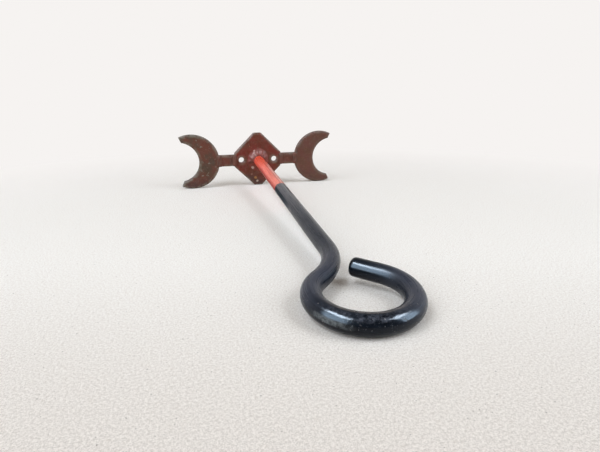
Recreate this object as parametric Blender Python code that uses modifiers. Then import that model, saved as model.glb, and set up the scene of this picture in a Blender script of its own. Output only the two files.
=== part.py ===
"""Hand-held branding iron for meat: a bent steel bar with an eye, welded to a cut-out branding head.

The head is three cut plates, two crescents and a lozenge, joined by two tie bars. The iron lies as it is
put down on a bench: on the lower edges of its plates and on the front of its eye.
"""

import math

import bmesh
import bpy
from mathutils import Vector

# Bar and eye, in metres
ROD_DIAMETER = 0.008
SHANK_LENGTH = 0.178
NECK_RADIUS = 0.0362
EYE_RADIUS = 0.0183
TAIL_LENGTH = 0.0125
MOUTH = 0.0043
END_ROUND = 0.002

# Branding head
HEAD_HEIGHT = 0.043
PLATE_THICKNESS = 0.004
EDGE_RADIUS = 0.001
LOZENGE_WIDTH = 0.038
LOZENGE_POINT = 0.006
LOZENGE_CORNER = 0.0016
CRESCENT_BACK = 0.016
HORN_WIDTH = 0.0044
HORN_ANGLE = math.radians(115)
VENT_DIAMETER = 0.0044

# Tie bars, which stand back from the face that marks the meat
TIE_LENGTH = 0.012
TIE_HEIGHT = 0.0093
TIE_SHOULDER = 0.001
BRAND_RELIEF = 0.0012

# Welds. A bead sinks at its ends by a share of its height
ROD_WELD_LEG = 0.0055
ROD_WELD_HEIGHT = 0.006
ROD_WELD_LIP = 0.0009
ROD_WELD_TOE = 0.0007
BEAD_WIDTH = 0.0036
BEAD_HEIGHT = 0.0011
BEAD_END_DROP = 1.05

# Gap between pieces that touch, and the distance at which points of one piece are one point
SEAM = 0.0003
MERGE_DISTANCE = 0.000001

# Facets
ARC_STEP = math.radians(7)
ROD_BEVEL_STEPS = 6
BEAD_BEVEL_STEPS = 4
BEAD_POINTS = 13
WELD_STEPS = 32
WELD_PROFILE_STEPS = 6
ROUND_STEPS = 4
EDGE_STEPS = 2
SHARP_ANGLE = math.radians(50)

# Worked out from the sizes above
ROD_RADIUS = ROD_DIAMETER / 2
OUTER_RADIUS = HEAD_HEIGHT / 2
BELLY_X = LOZENGE_WIDTH / 2 + TIE_LENGTH
CRESCENT_X = BELLY_X + OUTER_RADIUS
ROD_WELD_BORE = ROD_RADIUS + SEAM
ROD_WELD_RADIUS = ROD_WELD_BORE + ROD_WELD_LEG
EYE_CENTRE = SHANK_LENGTH + math.sqrt((NECK_RADIUS + EYE_RADIUS) ** 2 - NECK_RADIUS ** 2)
REACH = EYE_CENTRE + EYE_RADIUS


def clear_scene():
    for obj in list(bpy.data.objects):
        bpy.data.objects.remove(obj, do_unlink=True)


def material(name, colour, roughness, metallic):
    made = bpy.data.materials.new(name)
    made.use_nodes = True
    shader = made.node_tree.nodes["Principled BSDF"]
    shader.inputs["Base Color"].default_value = (*colour, 1.0)
    shader.inputs["Roughness"].default_value = roughness
    shader.inputs["Metallic"].default_value = metallic
    made.diffuse_color = (*colour, 1.0)
    return made


def add_piece(name, data, finish, root, collection):
    data.materials.append(finish)
    piece = bpy.data.objects.new(name, data)
    piece.parent = root
    collection.objects.link(piece)
    return piece


def arc_points(centre, radius, start, end):
    """Points of an arc about centre, both ends included."""
    steps = max(2, math.ceil(abs(end - start) / ARC_STEP))
    angles = [start + (end - start) * i / steps for i in range(steps + 1)]
    return [Vector((centre[0] + radius * math.cos(a), centre[1] + radius * math.sin(a))) for a in angles]


def rounded_corners(corners, radius):
    """The outline through these corners, which run anticlockwise, with an arc of this radius at each."""
    outline = []
    for before, corner, after in zip(corners[-1:] + corners[:-1], corners, corners[1:] + corners[:1]):
        arriving = (corner - before).normalized()
        leaving = (after - corner).normalized()
        turn = arriving.angle(leaving)
        tangent = radius * math.tan(turn / 2)
        start = math.atan2(-arriving.x, arriving.y)
        centre = corner - tangent * arriving + radius * Vector((-arriving.y, arriving.x))
        outline += arc_points(centre, radius, start, start + turn)
    return outline


def outline_curve(name, outlines, thickness):
    """A flat plate of this thickness with rounded edges. Outlines after the first are holes."""
    curve = bpy.data.curves.new(name, "CURVE")
    curve.dimensions = "2D"
    curve.fill_mode = "BOTH"
    curve.extrude = thickness / 2 - EDGE_RADIUS
    curve.bevel_depth = EDGE_RADIUS
    curve.bevel_resolution = EDGE_STEPS
    curve.offset = -EDGE_RADIUS
    for outline in outlines:
        spline = curve.splines.new("POLY")
        spline.points.add(len(outline) - 1)
        for point, place in zip(spline.points, outline):
            point.co = (place[0], place[1], 0.0, 1.0)
        spline.use_cyclic_u = True
        spline.use_smooth = False
    return curve


def stand_up(piece, back):
    """Turns a flat piece upright in the head, with its back face at this distance behind the rod's foot."""
    piece.rotation_euler = (math.pi / 2, 0.0, 0.0)
    piece.location = (0.0, back, 0.0)


def bar_route():
    """The bar's centre line and its radius at each point, from the head to the free end of the eye.

    The neck turns the bar aside and the eye turns it back round, with the eye's centre on the shank's line.
    The eye stops turning where a straight tail leaves the mouth open between its end and the neck.
    """
    neck_centre = Vector((-NECK_RADIUS, -SHANK_LENGTH))
    eye_centre = Vector((0.0, -EYE_CENTRE))
    neck_turn = math.acos(NECK_RADIUS / (NECK_RADIUS + EYE_RADIUS))
    centres = NECK_RADIUS + EYE_RADIUS
    tip_from_eye = math.hypot(EYE_RADIUS, TAIL_LENGTH)
    tip_from_neck = NECK_RADIUS + ROD_RADIUS + MOUTH
    open_angle = math.acos((centres ** 2 + tip_from_eye ** 2 - tip_from_neck ** 2) / (2 * centres * tip_from_eye))
    eye_turn = 2 * math.pi - open_angle - math.atan2(TAIL_LENGTH, EYE_RADIUS)

    eye_start = math.pi - neck_turn
    route = [Vector((0.0, -SEAM))]
    route += arc_points(neck_centre, NECK_RADIUS, 0.0, -neck_turn)
    route += arc_points(eye_centre, EYE_RADIUS, eye_start, eye_start + eye_turn)[1:]
    radii = [ROD_RADIUS] * len(route)

    heading = eye_start + eye_turn + math.pi / 2
    forward = Vector((math.cos(heading), math.sin(heading)))
    tail_start = route[-1].copy()
    for i in range(ROUND_STEPS + 1):
        angle = math.pi / 2 * i / ROUND_STEPS
        along = TAIL_LENGTH - END_ROUND * (1 - math.sin(angle))
        route.append(tail_start + along * forward)
        radii.append(ROD_RADIUS - END_ROUND * (1 - math.cos(angle)))
    return route, radii


def tube_curve(name, route, radii, bevel_steps):
    """A round bar along the route, whose radius follows radii."""
    curve = bpy.data.curves.new(name, "CURVE")
    curve.dimensions = "3D"
    curve.bevel_depth = 1.0
    curve.bevel_resolution = bevel_steps
    curve.use_fill_caps = True
    spline = curve.splines.new("POLY")
    spline.points.add(len(route) - 1)
    for point, place, radius in zip(spline.points, route, radii):
        point.co = (*place, 1.0)
        point.radius = radius
    return curve


def handle_rod(finish, root, collection):
    route, radii = bar_route()
    curve = tube_curve("handle_rod", [(p.x, p.y, 0.0) for p in route], radii, ROD_BEVEL_STEPS)
    return add_piece("handle_rod", curve, finish, root, collection)


def rod_weld(finish, root, collection):
    """The fillet weld round the rod's foot: a hollow-sided collar, turned about the rod."""
    profile = [Vector((ROD_WELD_BORE, ROD_WELD_HEIGHT))]
    lip_radius = ROD_WELD_BORE + ROD_WELD_LIP
    toe_height = SEAM + ROD_WELD_TOE
    for i in range(WELD_PROFILE_STEPS + 1):
        angle = math.pi / 2 * i / WELD_PROFILE_STEPS
        out = lip_radius + (ROD_WELD_RADIUS - lip_radius) * (1 - math.cos(angle))
        up = toe_height + (ROD_WELD_HEIGHT - toe_height) * (1 - math.sin(angle))
        profile.append(Vector((out, up)))
    profile.append(Vector((ROD_WELD_RADIUS, SEAM)))
    profile.append(Vector((ROD_WELD_BORE, SEAM)))

    mesh = bpy.data.meshes.new("rod_weld")
    edges = [(i, (i + 1) % len(profile)) for i in range(len(profile))]
    mesh.from_pydata([(p.x, 0.0, p.y) for p in profile], edges, [])
    piece = add_piece("rod_weld", mesh, finish, root, collection)
    turn = piece.modifiers.new("turned", "SCREW")
    turn.steps = WELD_STEPS
    turn.render_steps = WELD_STEPS
    turn.merge_threshold = MERGE_DISTANCE
    turn.use_smooth_shade = True
    piece.rotation_euler = (math.pi / 2, 0.0, 0.0)
    return piece


def centre_plate(finish, root, collection):
    """A lozenge with blunt corners, seated on the tie bars at its flat sides, and pierced beside the rod."""
    side = LOZENGE_WIDTH / 2
    flat = TIE_HEIGHT / 2 + TIE_SHOULDER
    tip = LOZENGE_POINT / 2
    right = [Vector(p) for p in ((tip, -OUTER_RADIUS), (side, -flat), (side, flat), (tip, OUTER_RADIUS))]
    left = [Vector((-p.x, p.y)) for p in reversed(right)]
    lozenge = rounded_corners(right + left, LOZENGE_CORNER)
    vent_x = (ROD_WELD_RADIUS + side - BEAD_WIDTH / 2) / 2
    vents = [arc_points((sign * vent_x, 0.0), VENT_DIAMETER / 2, 2 * math.pi, ARC_STEP) for sign in (-1, 1)]
    curve = outline_curve("centre_plate", [lozenge, *vents], PLATE_THICKNESS)
    piece = add_piece("centre_plate", curve, finish, root, collection)
    stand_up(piece, PLATE_THICKNESS / 2)
    return piece


def crescent_plate(name, sign, finish, root, collection):
    """A crescent with its thick back to the tie bar and its blunt horns outwards."""
    horn = math.pi - HORN_ANGLE
    horn_inner = OUTER_RADIUS - HORN_WIDTH
    back_inner = OUTER_RADIUS - CRESCENT_BACK
    bite_x = (horn_inner ** 2 - back_inner ** 2) / (2 * (back_inner + horn_inner * math.cos(horn)))
    bite_radius = bite_x + back_inner
    bite_end = math.atan2(horn_inner * math.sin(horn), horn_inner * math.cos(horn) - bite_x)
    outline = arc_points((CRESCENT_X, 0.0), OUTER_RADIUS, horn, 2 * math.pi - horn)
    outline += arc_points((CRESCENT_X + bite_x, 0.0), bite_radius, 2 * math.pi - bite_end, bite_end)
    curve = outline_curve(name, [[(sign * p.x, p.y) for p in outline]], PLATE_THICKNESS)
    piece = add_piece(name, curve, finish, root, collection)
    stand_up(piece, PLATE_THICKNESS / 2)
    return piece


def tie_bar(name, sign, finish, root, collection):
    """A short flat bar from the lozenge's side to the crescent's back, hollowed to fit the crescent."""
    half = TIE_HEIGHT / 2
    inner = LOZENGE_WIDTH / 2 + SEAM
    cope = OUTER_RADIUS + SEAM
    spread = math.asin(half / cope)
    outline = [Vector((inner, half)), Vector((inner, -half))]
    outline += arc_points((CRESCENT_X, 0.0), cope, math.pi + spread, math.pi - spread)
    thickness = PLATE_THICKNESS - BRAND_RELIEF
    curve = outline_curve(name, [[(sign * p.x, p.y) for p in outline]], thickness)
    piece = add_piece(name, curve, finish, root, collection)
    stand_up(piece, thickness / 2)
    return piece


def weld_bead(name, seam_x, finish, root, collection):
    """A low bead along the back of an upright seam, rounded off at both ends."""
    section = (BEAD_WIDTH ** 2 / 4 + BEAD_HEIGHT ** 2) / (2 * BEAD_HEIGHT)
    sunk = section - BEAD_HEIGHT - SEAM
    half = TIE_HEIGHT / 2
    route = []
    radii = []
    for i in range(BEAD_POINTS):
        share = 2 * i / (BEAD_POINTS - 1) - 1
        route.append((0.0, sunk, share * half))
        radii.append(section - BEAD_END_DROP * BEAD_HEIGHT * share ** 4)
    guide = bpy.data.objects.new(name, tube_curve(name, route, radii, BEAD_BEVEL_STEPS))
    collection.objects.link(guide)
    graph = bpy.context.evaluated_depsgraph_get()
    mesh = bpy.data.meshes.new_from_object(guide.evaluated_get(graph))
    bpy.data.objects.remove(guide)

    shape = bmesh.new()
    shape.from_mesh(mesh)
    bmesh.ops.remove_doubles(shape, verts=shape.verts, dist=MERGE_DISTANCE)
    geometry = [*shape.verts, *shape.edges, *shape.faces]
    bmesh.ops.bisect_plane(
        shape, geom=geometry, plane_co=(0.0, -SEAM, 0.0), plane_no=(0.0, 1.0, 0.0), clear_outer=True
    )
    rim = [edge for edge in shape.edges if edge.is_boundary]
    bmesh.ops.contextual_create(shape, geom=rim)
    bmesh.ops.recalc_face_normals(shape, faces=shape.faces)
    shape.to_mesh(mesh)
    shape.free()
    mesh.shade_smooth()
    mesh.set_sharp_from_angle(angle=SHARP_ANGLE)
    piece = add_piece(name, mesh, finish, root, collection)
    piece.location.x = seam_x
    return piece


def resting_slope():
    """The slope at which the plates' rounded lower back edges and the front of the eye touch one floor."""
    drop = OUTER_RADIUS - EDGE_RADIUS
    run = REACH + EDGE_RADIUS
    return math.acos((ROD_RADIUS - EDGE_RADIUS) / math.hypot(drop, run)) - math.atan2(run, drop)


def put_on_floor(root, pieces):
    """Moves the iron so that the middle of its footprint is the origin and it stands on Z = 0."""
    bpy.context.view_layer.update()
    graph = bpy.context.evaluated_depsgraph_get()
    points = []
    for piece in pieces:
        seen = piece.evaluated_get(graph)
        mesh = seen.to_mesh()
        points += [seen.matrix_world @ vertex.co for vertex in mesh.vertices]
        seen.to_mesh_clear()
    low = [min(p[axis] for p in points) for axis in range(3)]
    high = [max(p[axis] for p in points) for axis in range(3)]
    root.location = (-(low[0] + high[0]) / 2, -(low[1] + high[1]) / 2, -low[2])


def build():
    clear_scene()
    collection = bpy.data.collections.new("branding_iron")
    bpy.context.scene.collection.children.link(collection)
    root = bpy.data.objects.new("rod_foot", None)
    root.rotation_euler = (resting_slope(), 0.0, 0.0)
    collection.objects.link(root)

    enamel = material("black_enamel", (0.012, 0.013, 0.016), 0.28, 0.0)
    scale = material("browned_steel", (0.115, 0.052, 0.038), 0.5, 0.2)
    tie_steel = material("browned_bar", (0.105, 0.048, 0.035), 0.55, 0.2)
    weld = material("weld_metal", (0.13, 0.06, 0.045), 0.4, 0.3)

    pieces = [
        handle_rod(enamel, root, collection),
        rod_weld(weld, root, collection),
        centre_plate(scale, root, collection),
    ]
    for side, sign in (("left", -1), ("right", 1)):
        pieces.append(crescent_plate(f"{side}_plate", sign, scale, root, collection))
        pieces.append(tie_bar(f"{side}_tie_bar", sign, tie_steel, root, collection))
        pieces.append(weld_bead(f"{side}_inner_weld", sign * LOZENGE_WIDTH / 2, weld, root, collection))
        pieces.append(weld_bead(f"{side}_outer_weld", sign * BELLY_X, weld, root, collection))
    put_on_floor(root, pieces)


build()
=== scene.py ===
"""Branding iron for meat, dressed and lit: worn enamel on the bar, heat-browned paint on the welded head."""

import math

import bmesh
import bpy
from mathutils import Matrix, Vector, noise


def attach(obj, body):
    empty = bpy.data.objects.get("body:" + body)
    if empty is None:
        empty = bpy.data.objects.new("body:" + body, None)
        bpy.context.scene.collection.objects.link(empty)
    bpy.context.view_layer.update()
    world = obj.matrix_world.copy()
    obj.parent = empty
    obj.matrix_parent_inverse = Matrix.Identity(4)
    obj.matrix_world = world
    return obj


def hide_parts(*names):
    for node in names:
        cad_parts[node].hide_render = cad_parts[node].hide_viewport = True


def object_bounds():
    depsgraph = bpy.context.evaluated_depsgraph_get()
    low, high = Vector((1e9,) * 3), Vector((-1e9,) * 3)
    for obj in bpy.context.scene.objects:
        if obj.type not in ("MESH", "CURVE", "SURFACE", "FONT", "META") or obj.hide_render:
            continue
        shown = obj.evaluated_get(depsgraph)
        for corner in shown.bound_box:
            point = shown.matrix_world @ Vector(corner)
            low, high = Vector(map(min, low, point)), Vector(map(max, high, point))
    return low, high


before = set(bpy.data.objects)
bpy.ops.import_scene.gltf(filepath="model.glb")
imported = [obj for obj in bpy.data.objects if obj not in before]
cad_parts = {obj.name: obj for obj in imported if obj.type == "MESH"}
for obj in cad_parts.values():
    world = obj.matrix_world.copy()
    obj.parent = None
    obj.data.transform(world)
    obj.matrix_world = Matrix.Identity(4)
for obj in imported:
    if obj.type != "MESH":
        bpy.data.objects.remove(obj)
cad_low, cad_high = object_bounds()

# The iron's own sizes, in metres, as the solids have them
ROD_RADIUS = 0.004
SHANK_LENGTH = 0.178
NECK_RADIUS = 0.0362
EYE_RADIUS = 0.0183
TAIL_LENGTH = 0.0125
MOUTH = 0.0043
END_ROUND = 0.002
HEAD_RADIUS = 0.0215
PLATE_THICKNESS = 0.004
EDGE_RADIUS = 0.001
LOZENGE_SIDE = 0.019
LOZENGE_TIP = 0.003
LOZENGE_FLAT = 0.00565
LOZENGE_CORNER = 0.0016
CRESCENT_BACK = 0.016
HORN_WIDTH = 0.0044
HORN_ANGLE = math.radians(65)
VENT_RADIUS = 0.0022
VENT_X = 0.0135
TIE_LENGTH = 0.012
TIE_HALF = 0.00465
TIE_THICKNESS = 0.0028
ROD_WELD_RADIUS = 0.0098
ROD_WELD_HEIGHT = 0.006
BEAD_WIDTH = 0.0036
BEAD_HEIGHT = 0.0014

# How finely the pieces are meshed and shaded, and how far they sink into one another
BAR_SIDES = 48
SHANK_STEP = 0.0018
BEND_STEP = math.radians(2.5)
END_RINGS = 6
CORNER_STEPS = 6
BELLY_STEPS = 72
BITE_STEPS = 56
VENT_SIDES = 32
EDGE_STEPS = 4
SHARPEST_CORNER = 0.00002
SHARP_FOLD = math.radians(35)
SUNK = 0.0002
BAR_UV = "round_and_along"

# Hand work: the bar's unevenness and streaks, the rod weld's hollow side and lumps, the seam beads' ripples
UNEVEN_DEPTH = 0.00003
UNEVEN_SCALE = 160.0
STREAK_PITCH = 9.0
WELD_SIDES = 120
WELD_RINGS = 16
WELD_SPREAD_POWER = 1.4
WELD_HOLLOW_POWER = 1.7
WELD_WIDTH_SHARE = 0.06
WELD_WIDTH_SCALE = 1.1
WELD_WIDTH_SEED = Vector((3.1, 0.0, 0.7))
WELD_HEIGHT_SHARE = 0.1
WELD_HEIGHT_SCALE = 1.3
BULGE_HEIGHT = 0.0008
BULGE_SCALE = 2.6
BULGE_DRIFT = 2.0
BULGE_SEED = Vector((0.4, 0.0, 1.9))
BEAD_ROWS = 40
BEAD_COLUMNS = 14
BEAD_CROWN_POWER = 0.8
BEAD_END_POWER = 6
BEAD_END_WIDTH = 0.55
BEAD_WIDTH_SHARE = 0.12
BEAD_HEIGHT_SHARE = 0.15
BEAD_SCALE = Vector((400.0, 350.0))
RIPPLE_SHARE = 0.07
RIPPLE_LENGTH = 0.0011
RIPPLE_BOW = 0.35

# Where the looks change along the bar, in metres from its foot: where each change starts and where it ends
RED_LENGTH = 0.086
RED_EDGE = 0.0002
RED_WAVER = 0.0011
SCORCHED = (0.008, 0.042)
EDGE_HIGHLIGHT_REACH = (0.01, 0.05)
LIT_TOP_DIMMING = (0.035, 0.07)
SHADE_BAND_REACH = (RED_LENGTH + 0.018, RED_LENGTH + 0.042)
SHEEN_REACH = (RED_LENGTH + 0.015, RED_LENGTH + 0.07)
BENT = (SHANK_LENGTH, SHANK_LENGTH + 0.03)
POLISHED = (0.219, 0.238)
FRONT_STARTS = (0.228, 0.238)
FRONT_ENDS = (0.26, 0.27)
TAIL_STARTS = (0.282, 0.292)

# Places along the bar, and how far from them a look starts to change and has changed
RING_REACH = (0.001, 0.006)
WEAR_MIDDLE = 0.2363
WEAR_REACH = (0.002, 0.008)
DULL_SIDE = 0.278
DULL_REACH = (0.005, 0.028)

# Looks of the head: how far its worn edges reach across its plates, and how high up it is darker towards the
# bottom
WEAR_BAND = 0.0026
DARK_BELOW_HEIGHT = (0.009, 0.021)
DARK_BELOW_WAVER = 0.016

# The photograph's camera, from the rod's foot on the head
IMAGE_WIDTH = 600
FOCAL_PIXELS = 420
SENSOR_WIDTH = 36.0
CLIP_START = 0.01
CAMERA_FROM_FOOT = Vector((-0.0559, -0.34245))
CAMERA_HEIGHT = 0.07376
CAMERA_YAW = math.radians(-14.91)
CAMERA_PITCH = math.radians(17.66)
CAMERA_ROLL = math.radians(-0.4)

# The world, and the floor, which has painted shade towards the viewer, pales away from it and turns to
# background far from its middle
FLOOR_HALF = 12.0
FLOOR_SHADE_RANGE = (-0.185, -0.04)
FADE_MIDDLE = (0.0, -0.06, 0.0)
FADE_DISTANCE = (0.16, 0.42)
BACKDROP_FADE = (math.radians(25), math.radians(72))
WORLD_COLOUR = (1.0, 0.9, 0.79, 1.0)
WORLD_LIGHT = 0.34

# Lamps, and the dark screen that shows in the gloss, with its angles in degrees as seen from the eye
LAMP_DISTANCE = 1.6
SHINE_NEARER = 0.02
LAMP_COLOUR = (0.84, 0.93, 1.0)
PANEL_BLUE = (0.56, 0.77, 1.0)
STRIP_BLUE = (0.7, 0.84, 1.0)
FLAG_RADIUS = 0.75
FLAG_COLUMNS = 24
FLAG_ROWS = 18
FLAG_SPREAD = 48.0
FLAG_BOTTOM = -2.0
FLAG_TOP = 84.0

# Worked out from the sizes above and the frame
CENTRES = NECK_RADIUS + EYE_RADIUS
EYE_CENTRE = SHANK_LENGTH + math.sqrt(CENTRES ** 2 - NECK_RADIUS ** 2)
REACH = EYE_CENTRE + EYE_RADIUS
DROP = HEAD_RADIUS - EDGE_RADIUS
RUN = REACH + EDGE_RADIUS
SLOPE = math.acos((ROD_RADIUS - EDGE_RADIUS) / math.hypot(DROP, RUN)) - math.atan2(RUN, DROP)
FOOT = Vector((
    0.0,
    cad_low.y + REACH * math.cos(SLOPE) + ROD_RADIUS,
    REACH * math.sin(SLOPE) + ROD_RADIUS,
))
AT_REST = Matrix.Translation(FOOT) @ Matrix.Rotation(SLOPE, 4, "X")
EYE_MIDDLE = AT_REST @ Vector((0.0, -EYE_CENTRE, 0.0))
BELLY_X = LOZENGE_SIDE + TIE_LENGTH
CRESCENT_X = BELLY_X + HEAD_RADIUS


def srgb(red, green, blue):
    """A colour given as it looks on screen, 0 to 255, as Blender's linear values."""
    def linear(value):
        share = value / 255
        return share / 12.92 if share <= 0.04045 else ((share + 0.055) / 1.055) ** 2.4
    return (linear(red), linear(green), linear(blue), 1.0)


BACKGROUND = srgb(246, 243, 241)
OVERHEAD = srgb(70, 74, 82)
WARM_SHEEN = (1.0, 0.7, 0.57, 1.0)

# Marks on the back of the head: x and z from the rod's foot, radius and colour
SPATTER = (
    (-0.0024, -0.0150, 0.0012, srgb(150, 104, 62)),
    (-0.0010, -0.0178, 0.0009, srgb(178, 164, 150)),
    (-0.0056, -0.0120, 0.0009, srgb(132, 92, 82)),
    (0.0052, -0.0104, 0.0007, srgb(140, 110, 70)),
)
# Painted glints on the rod weld, pale spots where its lumps catch the lamps: x and z from the rod's foot,
# radius and colour
WELD_GLINTS = (
    (-0.0046, -0.0064, 0.0013, srgb(186, 160, 150)),
    (-0.0030, 0.0074, 0.0009, srgb(176, 140, 132)),
    (0.0026, 0.0066, 0.0008, srgb(190, 160, 152)),
)


class Nodes:
    """A node tree in the making. Inputs given as sockets are linked, other values are set."""

    def __init__(self, tree):
        self.tree = tree

    def put(self, node, socket, value):
        if isinstance(value, bpy.types.NodeSocket):
            self.tree.links.new(value, node.inputs[socket])
        else:
            node.inputs[socket].default_value = value

    def add(self, kind, inputs=(), **settings):
        node = self.tree.nodes.new(kind)
        for key, value in settings.items():
            setattr(node, key, value)
        for socket, value in dict(inputs).items():
            self.put(node, socket, value)
        return node

    def math(self, operation, first, second=0.0):
        return self.add("ShaderNodeMath", {0: first, 1: second}, operation=operation).outputs[0]

    def in_view(self):
        """1 for rays that put what they meet in the picture, directly or by way of gloss or glass."""
        rays = self.add("ShaderNodeLightPath").outputs
        seen = self.math("MAXIMUM", rays["Is Camera Ray"], rays["Is Glossy Ray"])
        return self.math("MAXIMUM", seen, rays["Is Transmission Ray"])

    def blend(self, share, first, second, output):
        """Mixes two shaders and makes the result the surface of the tree's output node."""
        mixed = self.add("ShaderNodeMixShader", {0: share, 1: first.outputs[0], 2: second.outputs[0]})
        self.put(self.tree.nodes[output], "Surface", mixed.outputs[0])


class Shading(Nodes):
    """A material in the making, from its Principled shader and its object's coordinates."""

    def __init__(self, name):
        self.material = bpy.data.materials.new(name)
        self.material.use_nodes = True
        super().__init__(self.material.node_tree)
        self.shader = self.tree.nodes["Principled BSDF"]
        self.place = self.add("ShaderNodeTexCoord").outputs["Object"]

    def noise(self, scale, detail=3.0, roughness=0.55, place=None):
        inputs = {"Vector": place or self.place, "Scale": scale, "Detail": detail, "Roughness": roughness}
        return self.add("ShaderNodeTexNoise", inputs).outputs["Fac"]

    def between(self, value, low, high, low_out=0.0, high_out=1.0):
        """The value taken smoothly from one range to another and held at its ends."""
        inputs = {"Value": value, "From Min": low, "From Max": high, "To Min": low_out, "To Max": high_out}
        node = self.add("ShaderNodeMapRange", inputs, interpolation_type="SMOOTHSTEP", clamp=True)
        return node.outputs["Result"]

    def fading(self, value, low, high, full=1.0):
        """Full as far as low, and 0 from high on."""
        return self.between(value, low, high, full, 0.0)

    def times(self, first, *others):
        for other in others:
            first = self.math("MULTIPLY", first, other)
        return first

    def plus(self, first, *others):
        for other in others:
            first = self.math("ADD", first, other)
        return first

    def mix(self, share, first, second):
        node = self.add("ShaderNodeMix", data_type="RGBA")
        for socket, value in zip((0, 6, 7), (share, first, second)):
            self.put(node, socket, value)
        return node.outputs[2]

    def axis(self, name, place=None):
        return self.add("ShaderNodeSeparateXYZ", {0: place or self.place}).outputs[name]

    def measure(self, operation, other):
        """A number from the place and another vector, such as their DISTANCE or DOT_PRODUCT."""
        inputs = {0: self.place, 1: other}
        return self.add("ShaderNodeVectorMath", inputs, operation=operation).outputs["Value"]

    def attribute(self, name):
        return self.add("ShaderNodeAttribute", attribute_name=name).outputs["Fac"]

    def bump(self, height, distance, strength=1.0, under=None):
        inputs = {"Height": height, "Distance": distance, "Strength": strength}
        if under:
            inputs["Normal"] = under
        return self.add("ShaderNodeBump", inputs).outputs["Normal"]

    def marked(self, colour, marks):
        """The colour with ragged round spots on the back of the head: spatter marks, and the weld's painted
        glints.
        """
        for x, z, radius, mark in marks:
            away = self.measure("DISTANCE", AT_REST @ Vector((x, 0.0, z)))
            ragged = self.plus(away, self.times(self.noise(900.0), radius))
            inner, outer = 1.1 * radius, 1.7 * radius
            colour = self.mix(self.fading(ragged, inner, outer), colour, mark)
        return colour

    def finish(self, **inputs):
        for socket, value in inputs.items():
            self.put(self.shader, socket.replace("_", " "), value)
        return self.material


class BarShading(Shading):
    """Shading for the bar, measured along it from its foot and round it from its outer side over the top."""

    def __init__(self, name):
        super().__init__(name)
        uv = self.add("ShaderNodeUVMap", uv_map=BAR_UV).outputs[0]
        self.along = self.axis("Y", uv)
        self.turn = self.times(self.axis("X", uv), 2 * math.pi)
        self.streaks = self.drawn_streaks()
        held = self.between(self.along, *POLISHED)
        self.polish = self.times(held, self.between(self.apart(DULL_SIDE), *DULL_REACH))
        before_side = self.fading(self.along, *FRONT_ENDS)
        self.front = self.times(self.polish, before_side, self.between(self.along, *FRONT_STARTS))

    def drawn_streaks(self):
        """Noise on the bar's surface, drawn out along it."""
        tube = {
            "X": self.math("COSINE", self.turn),
            "Y": self.math("SINE", self.turn),
            "Z": self.times(self.along, STREAK_PITCH),
        }
        return self.noise(3.6, 4.0, 0.65, place=self.add("ShaderNodeCombineXYZ", tube).outputs[0])

    def apart(self, place):
        """How far a point is from a place along the bar."""
        return self.math("ABSOLUTE", self.math("SUBTRACT", self.along, place))

    def facing(self, degrees, low, high):
        """A band along the bar round this angle, from 0 to 1 as the cosine of the turn to it rises."""
        turned = self.math("SUBTRACT", self.turn, math.radians(degrees))
        return self.between(self.math("COSINE", turned), low, high)


def black_coat(s, shade_band):
    """Black enamel: dull and grimy on the shank, with painted sheen on the bends' upper half and on top past
    the red, a painted band of shade down one side past the red, deep where polished.
    """
    grime = s.between(s.plus(s.noise(160.0, 4.0), s.streaks), 0.75, 1.3)
    straight = s.mix(grime, srgb(28, 32, 41), srgb(44, 47, 55))
    # Painted sheen: on the bends, the bar's upper outer half gets a lighter, bluer black.
    bent = s.mix(grime, srgb(42, 45, 57), srgb(56, 59, 70))
    deep = s.mix(grime, srgb(8, 12, 18), srgb(20, 25, 33))
    bends_sheen_mask = s.times(s.between(s.along, *BENT), s.facing(70, 0.0, 0.75))
    coat = s.mix(s.polish, s.mix(bends_sheen_mask, straight, bent), deep)
    # Painted sheen: a lighter grey laid along the top of the shank just past the red.
    top_sheen = s.times(s.fading(s.along, *SHEEN_REACH), s.facing(80, 0.35, 0.95), 0.62)
    coat = s.mix(top_sheen, coat, srgb(90, 88, 93))
    # Painted shade: the near-black band down one side of the shank past the red.
    return s.mix(shade_band, coat, srgb(3, 3, 4))


def red_coat(s):
    """Red enamel: painted light on top and painted shade at its side, a painted highlight along one edge,
    darker in streaks, scorched to orange next to the weld.
    """
    patches = s.between(s.noise(260.0, 4.0), 0.35, 0.7)
    # Painted light and shade: a darker red for the side and a paler one for the lit top, blended by which
    # way the bar faces; the painted lit top is duller further along.
    side = s.mix(patches, srgb(160, 60, 46), srgb(146, 52, 38))
    top = s.mix(patches, srgb(255, 132, 116), srgb(252, 114, 96))
    top = s.mix(s.between(s.along, *LIT_TOP_DIMMING, high_out=0.7), top, srgb(226, 122, 104))
    coat = s.mix(s.facing(62, 0.5, 0.98), side, top)
    coat = s.mix(s.between(s.streaks, 0.48, 0.64, high_out=0.6), coat, srgb(176, 60, 44))
    dark_line = s.times(s.facing(86, 0.982, 0.998), 0.55)
    coat = s.mix(dark_line, coat, srgb(168, 74, 58))
    # Painted highlight: pale pink patches along the red's right-hand edge near the head.
    patchy = s.between(s.noise(420.0, 4.0), 0.34, 0.58, 0.25, 0.8)
    edge_highlight = s.times(s.between(s.along, *EDGE_HIGHLIGHT_REACH), s.facing(122, 0.82, 0.96), patchy)
    coat = s.mix(edge_highlight, coat, srgb(214, 146, 132))
    return s.mix(s.fading(s.along, *SCORCHED, full=0.85), coat, srgb(228, 74, 36))


def chipped(s):
    """Where the enamel is off: in small chips all over, and in more of them on one side of the red's end."""
    chips = s.between(s.noise(900.0, 5.0, 0.7), 0.655, 0.68)
    ring_chips = s.between(s.noise(700.0, 4.0, 0.65), 0.52, 0.57)
    at_ring = s.fading(s.apart(RED_LENGTH), *RING_REACH)
    return s.math("MAXIMUM", chips, s.times(ring_chips, at_ring, s.facing(140, 0.45, 0.8)))


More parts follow.
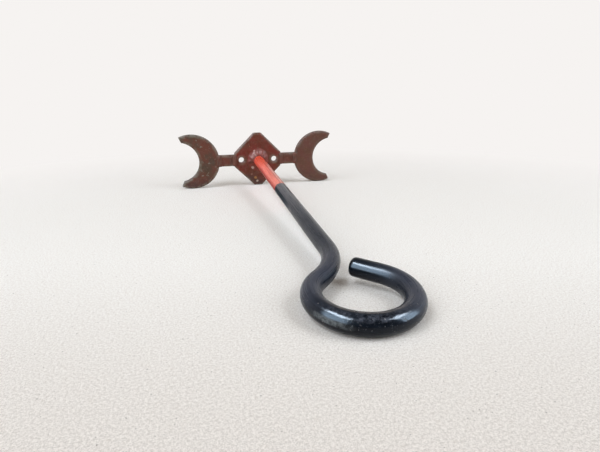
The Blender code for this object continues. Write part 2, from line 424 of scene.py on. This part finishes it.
def scuffed_front(s, colour):
    """The colour with the marks of use on the front of the eye, with painted glints and a painted reflection
    on its inner rim, and how much the marks of use dull the gloss.
    """
    blotches = s.noise(520.0, 8.0, 0.85)
    haze = s.times(s.front, s.facing(64, 0.86, 0.99), s.between(blotches, 0.4, 0.68, high_out=0.75))
    colour = s.mix(haze, colour, srgb(88, 91, 102))
    worn_place = s.times(s.fading(s.apart(WEAR_MIDDLE), *WEAR_REACH), s.facing(11, 0.94, 0.995))
    wear = s.times(s.between(blotches, 0.36, 0.66), worn_place)
    colour = s.mix(s.times(wear, 0.85), colour, srgb(118, 124, 126))
    # Painted highlights: pale specks on the front of the eye that stand in for glints.
    specks = s.between(s.noise(1400.0, 5.0, 0.7), 0.6, 0.68)
    glint_specks = s.times(s.front, s.facing(24, 0.87, 0.985), specks, 0.6)
    colour = s.mix(glint_specks, colour, srgb(126, 130, 134))
    # Painted reflection: a pale brownish-grey line along the eye's inner top edge, where it reflects the
    # floor.
    patchy = s.between(s.noise(600.0, 5.0), 0.35, 0.65, 0.1, 0.7)
    rim_reflection = s.times(s.front, s.facing(110, 0.92, 0.99), patchy)
    colour = s.mix(rim_reflection, colour, srgb(98, 92, 92))
    return colour, s.math("MAXIMUM", s.times(haze, 0.35), wear)


def bar_roughness(s, bare, scuffs, shade_band):
    """Smooth where polished, rougher on the dull shank, the tail, bare steel, scuffed paint and the painted
    band of shade.
    """
    dull, polished = 0.292, 0.102
    spotty = s.between(s.noise(300.0, 4.0), 0.3, 0.75, high_out=0.05)
    return s.plus(
        s.between(s.polish, 0.0, 1.0, dull, polished),
        s.times(s.between(s.along, *TAIL_STARTS), 0.095),
        s.times(spotty, s.polish),
        s.between(s.streaks, 0.4, 0.65, -0.03, 0.03),
        s.times(bare, 0.3),
        s.times(scuffs, 0.3),
        s.times(shade_band, 0.7),
    )


def bar_relief(s, bare):
    """The enamel's fine peel, small dents on the front of the eye, and a step down into each chip."""
    peel = s.bump(s.noise(850.0, 4.0, 0.6), 0.00006, 0.5)
    dents = s.bump(s.times(s.noise(650.0, 4.0, 0.65), s.front), 0.00014, 0.5, under=peel)
    return s.bump(s.math("SUBTRACT", 1.0, bare), 0.00012, 0.6, under=dents)


def bar_enamel():
    """Black enamel with a red length at the head, dull on the shank, polished and scuffed round the eye."""
    s = BarShading("bar_enamel")
    waver = s.times(s.math("SUBTRACT", s.noise(500.0), 0.5), RED_WAVER)
    is_red = s.fading(s.plus(s.along, waver), RED_LENGTH - RED_EDGE, RED_LENGTH + RED_EDGE)
    # Painted shade: a near-black band, its gloss dulled, down one side of the shank past the red.
    shade_band = s.times(s.fading(s.along, *SHADE_BAND_REACH), s.facing(12, 0.91, 0.975))
    paint = s.mix(is_red, black_coat(s, shade_band), red_coat(s))
    bare = chipped(s)
    steel = s.mix(s.noise(700.0), srgb(150, 140, 134), srgb(104, 88, 80))
    colour, scuffs = scuffed_front(s, s.mix(s.times(bare, 0.8), paint, steel))
    return s.finish(
        Base_Color=colour,
        Roughness=bar_roughness(s, bare, scuffs, shade_band),
        Normal=bar_relief(s, bare),
        IOR=1.4,
        Specular_IOR_Level=0.25,
    )


def head_paint(name, red, olive, roughness, bloom, low_dark, fleck, rub, marks=()):
    """Red paint browned by heat over cut plate: mottled with olive, darker towards the bottom, grey at its
    edges.

    Bloom, fleck and rub are the most that its haze, pale flecks and worn edges cover it; the share before
    fleck is the most that its darkening towards the bottom covers it.
    """
    s = Shading(name)
    colour = s.mix(s.between(s.noise(85.0, 4.0, 0.6), 0.4, 0.64), red, olive)
    haze = s.between(s.noise(230.0, 5.0, 0.65), 0.48, 0.72, high_out=bloom)
    colour = s.mix(haze, colour, srgb(112, 90, 84))
    fine = s.between(s.noise(1000.0, 3.0), 0.42, 0.75, high_out=0.4)
    colour = s.mix(fine, colour, srgb(62, 44, 38))
    flecks = s.between(s.noise(430.0, 3.0, 0.6), 0.6, 0.68, high_out=fleck)
    colour = s.mix(flecks, colour, srgb(132, 126, 114))
    # Darker towards the bottom of the head, below a wavy line.
    height = s.plus(s.axis("Z"), s.times(s.noise(140.0), DARK_BELOW_WAVER))
    colour = s.mix(s.fading(height, *DARK_BELOW_HEIGHT, full=low_dark), colour, srgb(56, 47, 45))
    patchy = s.between(s.noise(330.0, 4.0, 0.6), 0.34, 0.6)
    rubbed = s.times(s.attribute("edge"), patchy)
    colour = s.mix(s.times(rubbed, rub), colour, srgb(118, 109, 94))
    pits = s.between(s.noise(1300.0, 2.0), 0.69, 0.73)
    colour = s.mix(pits, colour, srgb(150, 112, 84))

    mottled = s.between(s.noise(240.0, 4.0), 0.3, 0.7, roughness - 0.08, roughness + 0.12)
    uneven = s.bump(s.noise(120.0, 3.0), 0.0005, 0.35)
    grain = s.bump(s.noise(1500.0, 3.0, 0.65), 0.00008, 0.5, under=uneven)
    return s.finish(
        Base_Color=s.marked(colour, marks),
        Roughness=s.plus(mottled, s.times(rubbed, 0.12)),
        Normal=s.bump(s.math("SUBTRACT", 1.0, pits), 0.00015, 0.5, under=grain),
        IOR=1.33,
        Specular_IOR_Level=0.3,
    )


def left_paint():
    return head_paint(
        "left_paint", srgb(102, 56, 40), srgb(78, 60, 44),
        roughness=0.48, bloom=0.22, low_dark=0.6, fleck=0.65, rub=0.75,
    )


def centre_paint():
    return head_paint(
        "centre_paint", srgb(116, 50, 40), srgb(98, 54, 38),
        roughness=0.28, bloom=0.2, low_dark=0.7, fleck=0.15, rub=0.6, marks=SPATTER,
    )


def right_paint():
    return head_paint(
        "right_paint", srgb(101, 58, 45), srgb(95, 62, 44),
        roughness=0.5, bloom=0.2, low_dark=0.25, fleck=0.08, rub=0.35,
    )


def tie_paint():
    return head_paint(
        "tie_paint", srgb(104, 52, 38), srgb(82, 54, 38),
        roughness=0.48, bloom=0.18, low_dark=0.2, fleck=0.2, rub=0.55,
    )


def weld_paint(name, light, dark, roughness, lumps, marks=()):
    """The same browned paint over weld metal, with rust in its pits, and any painted glints it is given as
    marks.
    """
    s = Shading(name)
    colour = s.mix(s.between(s.noise(260.0, 4.0), 0.35, 0.7), light, dark)
    rust = s.between(s.noise(800.0, 4.0, 0.7), 0.64, 0.7)
    colour = s.mix(rust, colour, srgb(146, 104, 72))
    swells = s.noise(420.0, 3.0)
    lumpy = s.bump(swells, 0.0006, lumps)
    return s.finish(
        Base_Color=s.marked(colour, marks),
        Roughness=s.between(swells, 0.3, 0.7, roughness, roughness + 0.16),
        Normal=s.bump(s.noise(900.0, 4.0), 0.0001, lumps, under=lumpy),
        IOR=1.36,
        Specular_IOR_Level=0.4,
        Specular_Tint=WARM_SHEEN,
    )


def rod_weld_paint():
    light, dark = srgb(120, 56, 48), srgb(100, 52, 44)
    # Its marks are painted glints.
    return weld_paint("weld_paint", light, dark, roughness=0.34, lumps=0.32, marks=WELD_GLINTS)


def bead_paint():
    light, dark = srgb(98, 54, 41), srgb(76, 50, 38)
    return weld_paint("bead_paint", light, dark, roughness=0.6, lumps=0.5)


def arc(centre, radius, start, end, steps):
    angles = [start + (end - start) * i / steps for i in range(steps + 1)]
    return [Vector((centre[0] + radius * math.cos(a), centre[1] + radius * math.sin(a))) for a in angles]


def into_scene(name, data):
    thing = bpy.data.objects.new(name, data)
    bpy.context.scene.collection.objects.link(thing)
    return thing


def finish_piece(name, shape, finish, node):
    """Makes the built shape a piece that rides on the iron and stands for its solid."""
    mesh = bpy.data.meshes.new(name)
    bmesh.ops.recalc_face_normals(shape, faces=shape.faces)
    shape.transform(AT_REST)
    shape.to_mesh(mesh)
    shape.free()
    mesh.materials.append(finish)
    mesh.shade_smooth()
    mesh.set_sharp_from_angle(angle=SHARP_FOLD)
    piece = into_scene(name, mesh)
    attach(piece, "root")
    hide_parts(node)


def bridge(shape, first, second):
    """Faces between two closed rings of as many points."""
    count = len(first)
    return [
        shape.faces.new((first[i], first[(i + 1) % count], second[(i + 1) % count], second[i]))
        for i in range(count)
    ]


def cover(shape, rows):
    """Faces across a grid of points."""
    for first, second in zip(rows, rows[1:]):
        for i in range(len(first) - 1):
            shape.faces.new((first[i], first[i + 1], second[i + 1], second[i]))


def bar_route():
    """Points of the bar's centre line, from the head to the free end of the eye, with the radius at each."""
    neck_turn = math.acos(NECK_RADIUS / CENTRES)
    tip_from_eye = math.hypot(EYE_RADIUS, TAIL_LENGTH)
    tip_from_neck = NECK_RADIUS + ROD_RADIUS + MOUTH
    open_cosine = (CENTRES ** 2 + tip_from_eye ** 2 - tip_from_neck ** 2) / (2 * CENTRES * tip_from_eye)
    eye_turn = 2 * math.pi - math.acos(open_cosine) - math.atan2(TAIL_LENGTH, EYE_RADIUS)
    eye_start = math.pi - neck_turn
    eye_end = eye_start + eye_turn

    rings = round(SHANK_LENGTH / SHANK_STEP)
    route = [Vector((0.0, -SHANK_LENGTH * i / rings)) for i in range(rings)]
    route += arc((-NECK_RADIUS, -SHANK_LENGTH), NECK_RADIUS, 0.0, -neck_turn, round(neck_turn / BEND_STEP))
    route += arc((0.0, -EYE_CENTRE), EYE_RADIUS, eye_start, eye_end, round(eye_turn / BEND_STEP))[1:]

    forward = Vector((-math.sin(eye_end), math.cos(eye_end)))
    start = route[-1].copy()
    tail_rings = round(TAIL_LENGTH / SHANK_STEP)
    for i in range(1, tail_rings):
        route.append(start + forward * (TAIL_LENGTH - END_ROUND) * i / tail_rings)
    radii = [ROD_RADIUS] * len(route)
    for i in range(END_RINGS + 1):
        angle = math.pi / 2 * i / END_RINGS
        route.append(start + forward * (TAIL_LENGTH - END_ROUND * (1 - math.sin(angle))))
        radii.append(ROD_RADIUS - END_ROUND * (1 - math.cos(angle)))
    return route, radii


def bar_ring(shape, route, radii, i):
    """The ring of points round one place of the bar's route, a little uneven as hand-bent stock is."""
    heading = (route[min(i + 1, len(route) - 1)] - route[max(i - 1, 0)]).normalized()
    side = Vector((heading.y, -heading.x, 0.0))
    ring = []
    for j in range(BAR_SIDES):
        turn = 2 * math.pi * j / BAR_SIDES
        outward = math.cos(turn) * side + math.sin(turn) * Vector((0.0, 0.0, 1.0))
        skin = route[i].to_3d() + radii[i] * outward
        uneven = UNEVEN_DEPTH * noise.noise(skin * UNEVEN_SCALE) * radii[i] / ROD_RADIUS
        ring.append(shape.verts.new(skin + uneven * outward))
    return ring


def handle_bar(finish):
    """The bent bar as one swept tube. Its UV map says how far round and how far along it a point is."""
    route, radii = bar_route()
    along = [0.0]
    for before, after in zip(route, route[1:]):
        along.append(along[-1] + (after - before).length)

    shape = bmesh.new()
    layer = shape.loops.layers.uv.new(BAR_UV)
    rings = [bar_ring(shape, route, radii, i) for i in range(len(route))]
    for i, (first, second) in enumerate(zip(rings, rings[1:])):
        for j, face in enumerate(bridge(shape, first, second)):
            corners = ((j, i), (j + 1, i), (j + 1, i + 1), (j, i + 1))
            for loop, (column, row) in zip(face.loops, corners):
                loop[layer].uv = (column / BAR_SIDES, along[row])
    for ring, end in ((rings[0], along[0]), (rings[-1], along[-1])):
        cap = shape.faces.new(ring)
        for loop in cap.loops:
            loop[layer].uv = (0.0, end)
    finish_piece("handle_bar_skin", shape, finish, "handle_rod")


def lozenge_outline(inset):
    """The centre plate's outline, drawn in by inset, with its corners rounded."""
    corner = max(LOZENGE_CORNER - inset, SHARPEST_CORNER)
    slant = Vector((LOZENGE_SIDE - LOZENGE_TIP, -(HEAD_RADIUS - LOZENGE_FLAT))).normalized()
    slant_out = math.atan2(slant.x, -slant.y)
    quarter = []
    for low, high, middle in (
        (0.0, slant_out, Vector((LOZENGE_SIDE, LOZENGE_FLAT))),
        (slant_out, math.pi / 2, Vector((LOZENGE_TIP, HEAD_RADIUS))),
    ):
        half = (high - low) / 2
        bisector = (low + high) / 2
        reach = LOZENGE_CORNER / math.cos(half)
        centre = middle - reach * Vector((math.cos(bisector), math.sin(bisector)))
        quarter += arc(centre, corner, low, high, CORNER_STEPS)
    upper = quarter + [Vector((-p.x, p.y)) for p in reversed(quarter)]
    return upper + [-p for p in upper]


def crescent_outline(inset):
    """A right-hand crescent's outline, drawn in by inset: back, lower horn, bite and upper horn."""
    horn_inner = HEAD_RADIUS - HORN_WIDTH
    back_inner = HEAD_RADIUS - CRESCENT_BACK
    bite_x = (horn_inner ** 2 - back_inner ** 2) / (2 * (back_inner + horn_inner * math.cos(HORN_ANGLE)))
    outer = HEAD_RADIUS - inset
    bite = bite_x + back_inner + inset
    out = Vector((math.cos(HORN_ANGLE), math.sin(HORN_ANGLE)))
    start = inset * Vector((-out.y, out.x))
    abreast = bite_x * out.x
    run = abreast + math.sqrt(abreast ** 2 - (start - Vector((bite_x, 0.0))).length_squared + bite ** 2)
    inner_end = start + run * out
    outer_turn = HORN_ANGLE + math.asin(inset / outer)
    inner_turn = math.atan2(inner_end.y, inner_end.x - bite_x)
    belly = arc((CRESCENT_X, 0.0), outer, outer_turn, 2 * math.pi - outer_turn, BELLY_STEPS)
    return belly + arc((CRESCENT_X + bite_x, 0.0), bite, 2 * math.pi - inner_turn, inner_turn, BITE_STEPS)


def tie_outline(inset):
    """A right-hand tie bar's outline, drawn in by inset. Its ends run just into the plates."""
    inner = LOZENGE_SIDE - SUNK
    outer = BELLY_X + 2 * SUNK
    top = TIE_HALF - inset
    return [Vector((x, y)) for x, y in ((outer, top), (inner, top), (inner, -top), (outer, -top))]


def vent_outline(side):
    """The outline of the round vent on one side of the centre plate, the other way round as a hole is."""
    full = 2 * math.pi

    def outline(inset):
        return arc((side * VENT_X, 0.0), VENT_RADIUS + inset, full, full / VENT_SIDES, VENT_SIDES - 1)

    return outline


def mirrored(outline):
    return lambda inset: [Vector((-p.x, p.y)) for p in reversed(outline(inset))]


def edge_levels(thickness):
    """How far in and how deep each ring of a plate lies, from its back over its edge to its face."""
    back = [(WEAR_BAND, 0.0), ((WEAR_BAND + EDGE_RADIUS) / 2, 0.0)]
    for i in range(EDGE_STEPS + 1):
        angle = math.pi / 2 * i / EDGE_STEPS
        back.append((EDGE_RADIUS * (1 - math.sin(angle)), EDGE_RADIUS * (1 - math.cos(angle))))
    return back + [(inset, thickness - depth) for inset, depth in reversed(back)]


def plate(name, outlines, thickness, finish, node):
    """A flat plate between y = 0 and its thickness, with rounded edges. Outlines after the first are holes.

    The point attribute edge is 1 on the edges and fades to 0 across the faces' worn band.
    """
    levels = edge_levels(thickness)
    shape = bmesh.new()
    edge = shape.verts.layers.float.new("edge")
    caps = {0: [], len(levels) - 1: []}
    for outline in outlines:
        rings = []
        for inset, depth in levels:
            ring = [shape.verts.new((p.x, depth, p.y)) for p in outline(inset)]
            for vertex in ring:
                vertex[edge] = 1.0 - max(inset - EDGE_RADIUS, 0.0) / (WEAR_BAND - EDGE_RADIUS)
            rings.append(ring)
        for first, second in zip(rings, rings[1:]):
            bridge(shape, first, second)
        for level, ends in caps.items():
            ring = rings[level]
            ends += [shape.edges.get((a, b)) for a, b in zip(ring, ring[1:] + ring[:1])]
    for ends in caps.values():
        bmesh.ops.triangle_fill(shape, edges=ends, use_beauty=True)
    finish_piece(name, shape, finish, node)


def weld_point(turn, share):
    """A point on the rod weld, at this turn round the rod and this share of the way from it to the toe."""
    way = Vector((math.cos(turn), 0.0, math.sin(turn)))
    widening = WELD_WIDTH_SHARE * noise.noise(way * WELD_WIDTH_SCALE + WELD_WIDTH_SEED)
    wide = ROD_WELD_RADIUS * (1 + widening) - ROD_RADIUS
    tall = ROD_WELD_HEIGHT * (1 + WELD_HEIGHT_SHARE * noise.noise(way * WELD_HEIGHT_SCALE))
    drift = Vector((0.0, BULGE_DRIFT * share, 0.0))
    bulge = BULGE_HEIGHT * math.sin(math.pi * share) * noise.noise(way * BULGE_SCALE + BULGE_SEED + drift)
    radius = ROD_RADIUS - SUNK + wide * share ** WELD_SPREAD_POWER
    height = tall * (1 - share) ** WELD_HOLLOW_POWER + bulge
    return radius * way - Vector((0.0, height - SUNK / 2, 0.0))


def rod_weld(finish):
    """The fillet weld round the rod's foot, hollow-sided, and lumpy where its runs overlap."""
    shape = bmesh.new()
    turns = [2 * math.pi * j / WELD_SIDES for j in range(WELD_SIDES)]
    rings = []
    for i in range(WELD_RINGS + 1):
        rings.append([shape.verts.new(weld_point(turn, i / WELD_RINGS)) for turn in turns])
    foot = [shape.verts.new((vertex.co.x, 2 * SUNK, vertex.co.z)) for vertex in rings[-1]]
    heel = [shape.verts.new((vertex.co.x, 2 * SUNK, vertex.co.z)) for vertex in rings[0]]
    loops = [heel, *rings, foot, heel]
    for first, second in zip(loops, loops[1:]):
        bridge(shape, first, second)
    finish_piece("rod_weld_bead", shape, finish, "rod_weld")


def seam_weld(name, seam_x, finish, node):
    """A short rippled bead along the back of the seam between a tie bar and a plate."""
    shape = bmesh.new()
    rows = []
    for i in range(BEAD_ROWS + 1):
        share = 2 * i / BEAD_ROWS - 1
        z = share * TIE_HALF
        taper = math.sqrt(max(1 - share ** BEAD_END_POWER, 0.0))
        wander = noise.noise(Vector((seam_x * BEAD_SCALE.x, z * BEAD_SCALE.y, 0.0)))
        narrowing = BEAD_END_WIDTH + (1 - BEAD_END_WIDTH) * taper
        half_width = BEAD_WIDTH / 2 * narrowing * (1 + BEAD_WIDTH_SHARE * wander)
        row = []
        for j in range(BEAD_COLUMNS + 1):
            side = 2 * j / BEAD_COLUMNS - 1
            ripple = math.cos(2 * math.pi * (z / RIPPLE_LENGTH + RIPPLE_BOW * side ** 2))
            uneven = 1 + BEAD_HEIGHT_SHARE * wander + RIPPLE_SHARE * ripple
            height = BEAD_HEIGHT * (1 - side ** 2) ** BEAD_CROWN_POWER * taper * uneven
            row.append(shape.verts.new((seam_x + side * half_width, -height, z)))
        rows.append(row)
    cover(shape, rows)
    made = bmesh.ops.extrude_face_region(shape, geom=list(shape.faces))
    for vertex in (item for item in made["geom"] if isinstance(item, bmesh.types.BMVert)):
        vertex.co.y = SUNK
    finish_piece(name, shape, finish, node)


def dress_iron():
    handle_bar(bar_enamel())
    rod_weld(rod_weld_paint())
    for side, outlines, finish in (
        ("centre", [lozenge_outline, vent_outline(-1), vent_outline(1)], centre_paint()),
        ("right", [crescent_outline], right_paint()),
        ("left", [mirrored(crescent_outline)], left_paint()),
    ):
        plate(f"{side}_plate_skin", outlines, PLATE_THICKNESS, finish, f"{side}_plate")
    tie_finish = tie_paint()
    for side, outline in (("right", tie_outline), ("left", mirrored(tie_outline))):
        plate(f"{side}_tie_skin", [outline], TIE_THICKNESS, tie_finish, f"{side}_tie_bar")
    bead_finish = bead_paint()
    for side, sign in (("left", -1), ("right", 1)):
        seam_weld(f"{side}_inner_bead", sign * LOZENGE_SIDE, bead_finish, f"{side}_inner_weld")
        seam_weld(f"{side}_outer_bead", sign * BELLY_X, bead_finish, f"{side}_outer_weld")


def floor_paint():
    """Pale board with painted shade, a little greyer towards the viewer, that fades to the plain background
    far away.
    """
    s = Shading("floor_board")
    speckle = s.plus(s.noise(1300.0, 3.0, 0.7), s.noise(3000.0, 2.0, 0.6))
    grain = s.between(speckle, 0.72, 1.28)
    # Painted shade: the floor's colour is greyer nearer the viewer and paler further away.
    shaded_near = s.mix(grain, srgb(200, 190, 182), srgb(237, 228, 221))
    far = s.mix(grain, srgb(224, 214, 207), srgb(255, 252, 248))
    depth = s.measure("DOT_PRODUCT", (-math.sin(CAMERA_YAW), math.cos(CAMERA_YAW), 0.0))
    colour = s.mix(s.between(depth, *FLOOR_SHADE_RANGE), shaded_near, far)
    fibres = s.between(s.noise(620.0, 5.0, 0.75), 0.56, 0.7, high_out=0.25)
    colour = s.mix(fibres, colour, srgb(186, 168, 152))
    specks = s.between(s.noise(1150.0, 1.0, 0.4), 0.74, 0.79, high_out=0.8)
    colour = s.mix(specks, colour, srgb(128, 116, 106))
    relief = s.bump(speckle, 0.0002, 0.12)
    material = s.finish(Base_Color=colour, Roughness=0.9, Normal=relief, Specular_IOR_Level=0.07)
    glow = s.add("ShaderNodeEmission", {"Color": BACKGROUND, "Strength": 1.0})
    faded = s.between(s.measure("DISTANCE", FADE_MIDDLE), *FADE_DISTANCE)
    s.blend(s.times(s.in_view(), faded), s.shader, glow, "Material Output")
    return material


def make_floor():
    corners = [(x * FLOOR_HALF, y * FLOOR_HALF, 0.0) for x, y in ((-1, -1), (1, -1), (1, 1), (-1, 1))]
    mesh = bpy.data.meshes.new("floor")
    mesh.from_pydata(corners, [], [(0, 1, 2, 3)])
    mesh.materials.append(floor_paint())
    floor = into_scene("floor", mesh)


def make_world():
    """Even soft light, and past the floor a plain backdrop that is pale low down and dim overhead."""
    world = bpy.data.worlds.new("studio")
    world.use_nodes = True
    bpy.context.scene.world = world
    sky = Nodes(world.node_tree)
    light = sky.tree.nodes["Background"]
    sky.put(light, "Color", WORLD_COLOUR)
    sky.put(light, "Strength", WORLD_LIGHT)
    way = sky.add("ShaderNodeTexCoord").outputs["Generated"]
    fade = sky.add("ShaderNodeValToRGB", {0: sky.add("ShaderNodeSeparateXYZ", {0: way}).outputs["Z"]})
    for stop, colour, elevation in zip(fade.color_ramp.elements, (BACKGROUND, OVERHEAD), BACKDROP_FADE):
        stop.color = colour
        stop.position = math.sin(elevation)
    backdrop = sky.add("ShaderNodeBackground", {"Color": fade.outputs[0]})
    sky.blend(sky.in_view(), light, backdrop, "World Output")


def direction(azimuth, elevation):
    """A unit vector, with azimuth 0 along +Y and 90 along +X."""
    a, e = math.radians(azimuth), math.radians(elevation)
    return Vector((math.sin(a) * math.cos(e), math.cos(a) * math.cos(e), math.sin(e)))


def softbox(name, azimuth, elevation, wide, high, light, shine, tint):
    """A rectangular lamp at these angles from the eye, as wide and high in degrees as the eye sees it.

    Its light is its radiance on matt surfaces. Its shine, a little nearer, is its tinted image in gloss.
    """
    way = direction(azimuth, elevation)
    for use, radiance, distance, colour in (
        ("light", light, LAMP_DISTANCE, LAMP_COLOUR),
        ("shine", shine, LAMP_DISTANCE - SHINE_NEARER, tint),
    ):
        lamp = bpy.data.lights.new(f"{name}_{use}", "AREA")
        lamp.shape = "RECTANGLE"
        lamp.size = 2 * distance * math.tan(math.radians(wide / 2))
        lamp.size_y = 2 * distance * math.tan(math.radians(high / 2))
        lamp.energy = radiance * math.pi * lamp.size * lamp.size_y
        lamp.color = colour
        box = into_scene(lamp.name, lamp)
        box.location = EYE_MIDDLE + distance * way
        box.rotation_euler = way.to_track_quat("Z", "Y").to_euler()
        box.visible_diffuse = use == "light"
        box.visible_glossy = use == "shine"


def light_iron():
    softbox("left_panel", -115, 32, wide=50, high=40, light=2.4, shine=18.5, tint=PANEL_BLUE)
    softbox("left_strip", -101, 60, wide=34, high=14, light=6.7, shine=74.0, tint=STRIP_BLUE)
    softbox("right_panel", 117, 26, wide=36, high=38, light=2.8, shine=15.5, tint=PANEL_BLUE)
    softbox("right_strip", 111, 51, wide=26, high=12, light=7.6, shine=51.0, tint=STRIP_BLUE)


def flag_cloth():
    s = Shading("flag_cloth")
    cloth = s.mix(s.noise(6.0), (0.03, 0.033, 0.04, 1.0), (0.07, 0.07, 0.075, 1.0))
    return s.finish(Base_Color=cloth, Roughness=1.0)


def black_flag():
    """A dark curved screen in front of the iron, seen only in its gloss, as a dim room would be."""
    shape = bmesh.new()
    grid = []
    for i in range(FLAG_ROWS + 1):
        elevation = FLAG_BOTTOM + (FLAG_TOP - FLAG_BOTTOM) * i / FLAG_ROWS
        row = []
        for j in range(FLAG_COLUMNS + 1):
            azimuth = 180 - FLAG_SPREAD + 2 * FLAG_SPREAD * j / FLAG_COLUMNS
            row.append(shape.verts.new(EYE_MIDDLE + FLAG_RADIUS * direction(azimuth, elevation)))
        grid.append(row)
    cover(shape, grid)
    mesh = bpy.data.meshes.new("black_flag")
    shape.to_mesh(mesh)
    shape.free()
    mesh.materials.append(flag_cloth())
    flag = into_scene("black_flag", mesh)
    flag.visible_camera = False
    flag.visible_diffuse = False
    flag.visible_transmission = False
    flag.visible_shadow = False


def make_camera():
    data = bpy.data.cameras.new("photo_camera")
    data.sensor_fit = "HORIZONTAL"
    data.sensor_width = SENSOR_WIDTH
    data.lens = FOCAL_PIXELS / IMAGE_WIDTH * SENSOR_WIDTH
    data.clip_start = CLIP_START
    camera = into_scene("photo_camera", data)
    camera.location = (FOOT.x + CAMERA_FROM_FOOT.x, FOOT.y + CAMERA_FROM_FOOT.y, CAMERA_HEIGHT)
    aim = Matrix.Rotation(CAMERA_YAW, 3, "Z") @ Matrix.Rotation(math.pi / 2 - CAMERA_PITCH, 3, "X")
    camera.rotation_euler = (aim @ Matrix.Rotation(CAMERA_ROLL, 3, "Z")).to_euler()
    bpy.context.scene.camera = camera


dress_iron()
make_floor()
make_world()
light_iron()
black_flag()
make_camera()
bpy.context.scene.view_settings.view_transform = "Standard"
